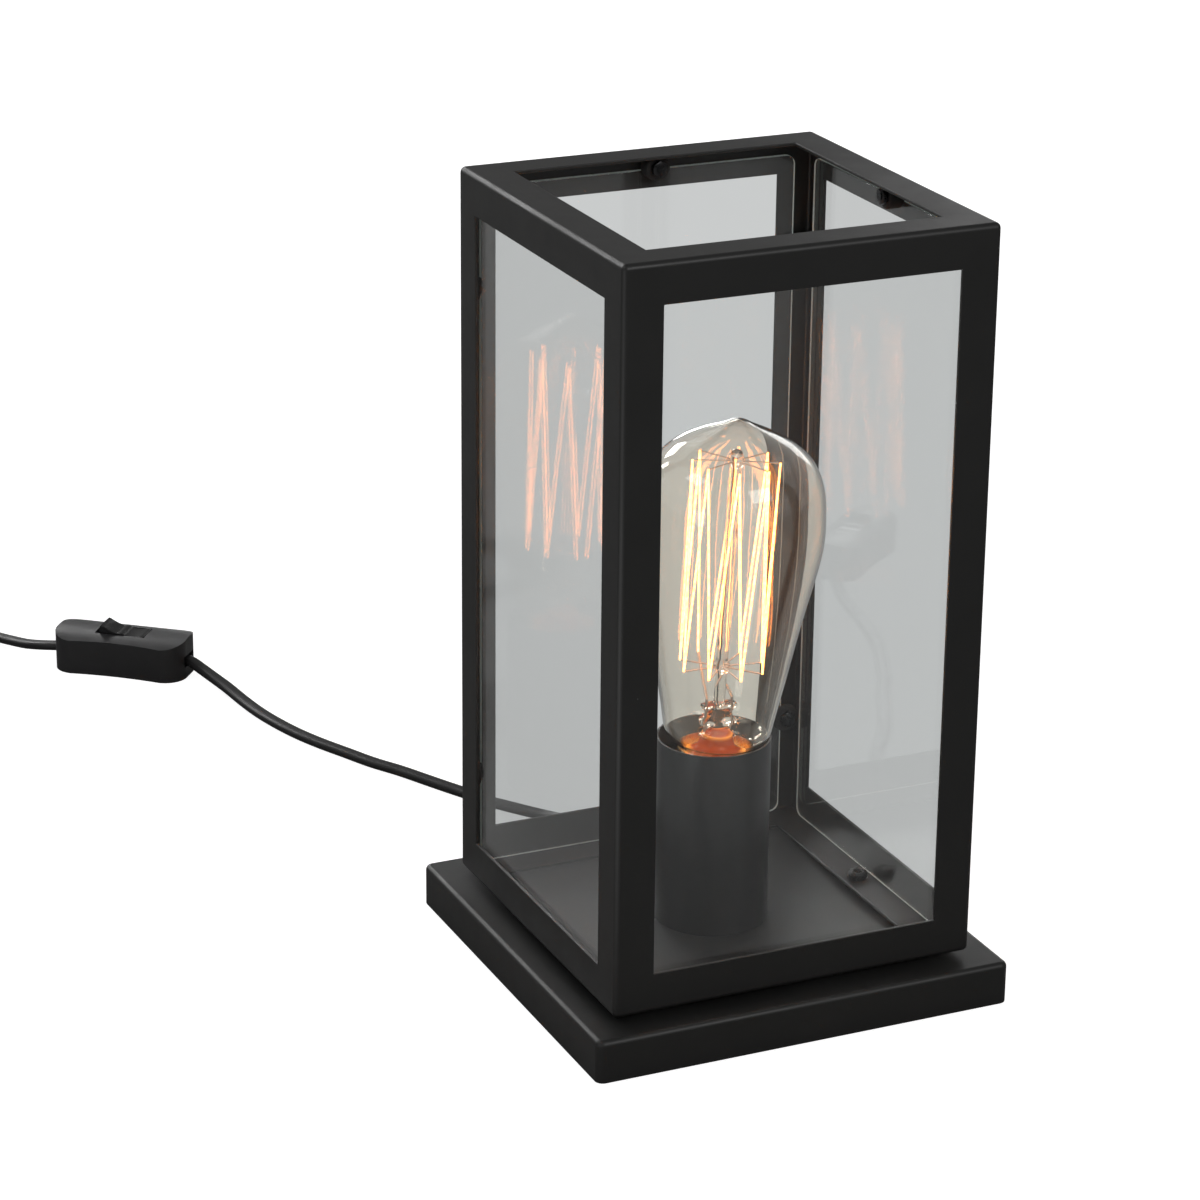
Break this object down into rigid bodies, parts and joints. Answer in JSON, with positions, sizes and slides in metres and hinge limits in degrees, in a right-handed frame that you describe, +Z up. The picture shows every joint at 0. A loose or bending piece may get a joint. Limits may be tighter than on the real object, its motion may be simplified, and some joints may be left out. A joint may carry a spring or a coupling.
{
  "type": "lantern table lamp",
  "caption": "Square open-topped lantern table lamp with glass panes in a black steel cage, a lit squirrel-cage filament bulb, and a flat cord with an in-line rocker switch and plug.",
  "frame": {"origin": "middle of the square base on the surface that the lamp stands on", "axes": "+Z up, -Y towards the front pane, +X to the lamp's right; the cord leaves the back at +Y"},
  "size_m": [0.3637, 0.5231, 0.278],
  "materials": {
    "black_steel": "satin black powder coat",
    "black_fastener": "black oxide",
    "zinc_steel": "bright zinc",
    "black_rubber": "matt",
    "pane_glass": "clear, polished edges",
    "sleeve_black": "matt dark grey",
    "black_plastic": "satin",
    "gloss_black_plastic": "gloss",
    "white_nylon": "natural",
    "ceramic": "glazed ceramic",
    "brass_parts": "plain",
    "bulb_glass": "clear with a slight amber tint",
    "inner_glass": "clear",
    "cap_brass": "rolled",
    "black_glass": "fused black glass",
    "solder": "tinned",
    "nickel_wire": "drawn wire",
    "filament_wire": "glowing",
    "brown_wire": "insulation",
    "blue_wire": "insulation",
    "cord_black": "satin jacket"
  },
  "bodies": {
    "lantern": {"base_tray": "black_steel", "base_cover": "black_steel", "cover_standoffs": "zinc_steel", "cover_screws": "zinc_steel", "foot_pads": "black_rubber", "cord_bush": "black_plastic", "cord_anchor": "white_nylon", "cord_clamp": "white_nylon", "clamp_screws": "zinc_steel", "terminal_block": "white_nylon", "terminal_screws": "brass_parts", "live_wires": "brown_wire", "neutral_wires": "blue_wire", "cage_spacers": "black_fastener", "cage_screws": "black_fastener", "cage_nuts": "zinc_steel", "post_front_left": "black_steel", "post_front_right": "black_steel", "post_back_left": "black_steel", "post_back_right": "black_steel", "top_rail_front": "black_steel", "top_rail_right": "black_steel", "top_rail_back": "black_steel", "top_rail_left": "black_steel", "bottom_rail_front": "black_steel", "bottom_rail_right": "black_steel", "bottom_rail_back": "black_steel", "bottom_rail_left": "black_steel", "glass_front": "pane_glass", "glass_right": "pane_glass", "glass_back": "pane_glass", "glass_left": "pane_glass", "pane_studs": "black_fastener", "side_washers": "black_rubber", "top_bumpers": "black_rubber", "stud_nuts": "black_fastener", "lampholder_sleeve": "sleeve_black", "lampholder_body": "black_plastic", "lampholder_core": "ceramic", "lampholder_shell": "brass_parts", "lampholder_contact": "brass_parts", "nipple": "zinc_steel", "nipple_nut": "zinc_steel", "cord_lamp": "cord_black", "switch_base": "black_plastic", "switch_cover": "black_plastic", "switch_fittings": "brass_parts", "cord_middle": "cord_black", "cord_coil": "cord_black", "cord_end": "cord_black", "plug": "black_plastic"},
    "bulb_carrier": {"bulb_insulator": "black_glass", "bulb_contact": "solder"},
    "bulb": {"bulb_glass": "bulb_glass", "bulb_cap": "cap_brass", "bulb_stem": "inner_glass", "lead_wires": "nickel_wire", "hook_wires": "nickel_wire", "filament": "filament_wire"},
    "rocker": {"switch_rocker": "gloss_black_plastic"}
  },
  "joints": [
    {"name": "bulb_rise", "type": "slide", "parent": "lantern", "child": "bulb_carrier", "axis": [0.0413, -0.0187, 0.999], "range_m": [0, 0.0128]},
    {"name": "bulb_turn", "type": "hinge", "parent": "bulb_carrier", "child": "bulb", "pos_m": [0, 0, 0.06], "axis": [0.0413, -0.0187, 0.999], "range_deg": [0, 1260]},
    {"name": "rocker_tilt", "type": "hinge", "parent": "lantern", "child": "rocker", "pos_m": [-0.1078, 0.3422, 0.0138], "axis": [-0.6293, -0.7771, 0], "range_deg": [0, 20]}
  ],
  "couplings": [
    {"joint": "bulb_rise", "follows": "bulb_turn", "m_per_rad": 0.00057757}
  ]
}
